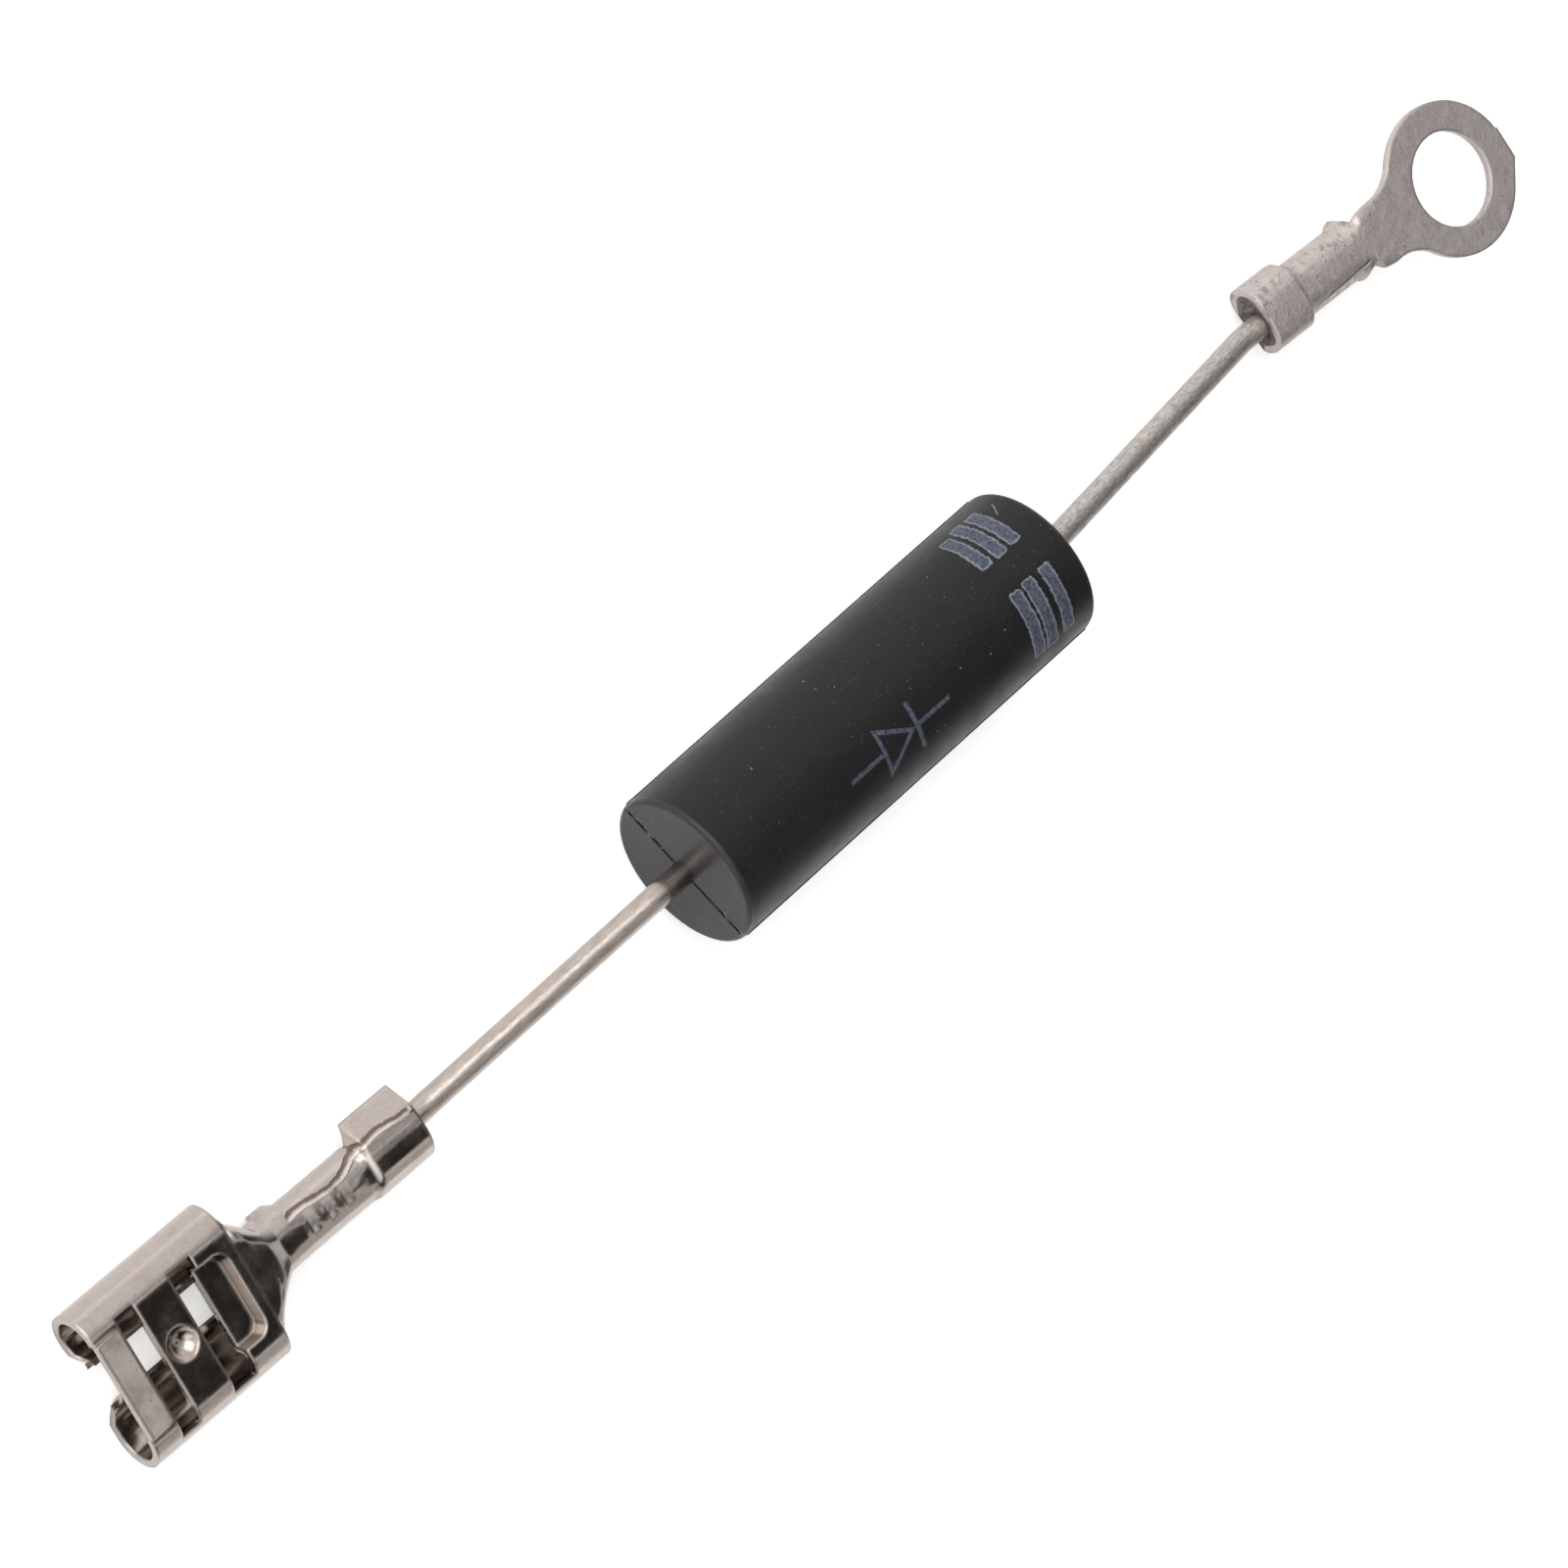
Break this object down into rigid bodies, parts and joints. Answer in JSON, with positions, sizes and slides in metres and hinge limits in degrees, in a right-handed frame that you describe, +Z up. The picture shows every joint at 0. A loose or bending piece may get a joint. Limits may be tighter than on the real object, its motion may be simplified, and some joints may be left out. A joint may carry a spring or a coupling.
{
  "type": "axial rectifier diode",
  "caption": "High-voltage axial rectifier diode: cylindrical moulded body, ring terminal crimped on the cathode lead and tab receptacle crimped on the anode lead.",
  "frame": {"origin": "centre of the bounding box, on the plane that the part lies on", "axes": "+X along the moulded body's axis, from the receptacle at the anode end to the ring terminal at the cathode end; +Z up from that plane, out of the receptacle's floor; +Y completes the set"},
  "size_m": [0.0883, 0.0086, 0.0072],
  "materials": {
    "moulded_epoxy": "semi-gloss moulding",
    "silicone_coating": "soft matte",
    "anode_lead_tin": "bright tin plating",
    "cathode_lead_tin": "dull tin plating",
    "silicon": "polished wafer",
    "solder": "solder sheet",
    "ring_plating": "matte tin plating",
    "receptacle_plating": "bright tin plating"
  },
  "bodies": {
    "root": {"epoxy_body": "moulded_epoxy", "junction_coating": "silicone_coating", "anode_lead": "anode_lead_tin", "cathode_lead": "cathode_lead_tin", "silicon_die_1": "silicon", "silicon_die_2": "silicon", "silicon_die_3": "silicon", "silicon_die_4": "silicon", "silicon_die_5": "silicon", "silicon_die_6": "silicon", "silicon_die_7": "silicon", "silicon_die_8": "silicon", "silicon_die_9": "silicon", "silicon_die_10": "silicon", "silicon_die_11": "silicon", "silicon_die_12": "silicon", "solder_preform_1": "solder", "solder_preform_2": "solder", "solder_preform_3": "solder", "solder_preform_4": "solder", "solder_preform_5": "solder", "solder_preform_6": "solder", "solder_preform_7": "solder", "solder_preform_8": "solder", "solder_preform_9": "solder", "solder_preform_10": "solder", "solder_preform_11": "solder", "solder_preform_12": "solder", "solder_preform_13": "solder", "ring_terminal": "ring_plating", "tab_receptacle": "receptacle_plating"}
  },
  "joints": []
}
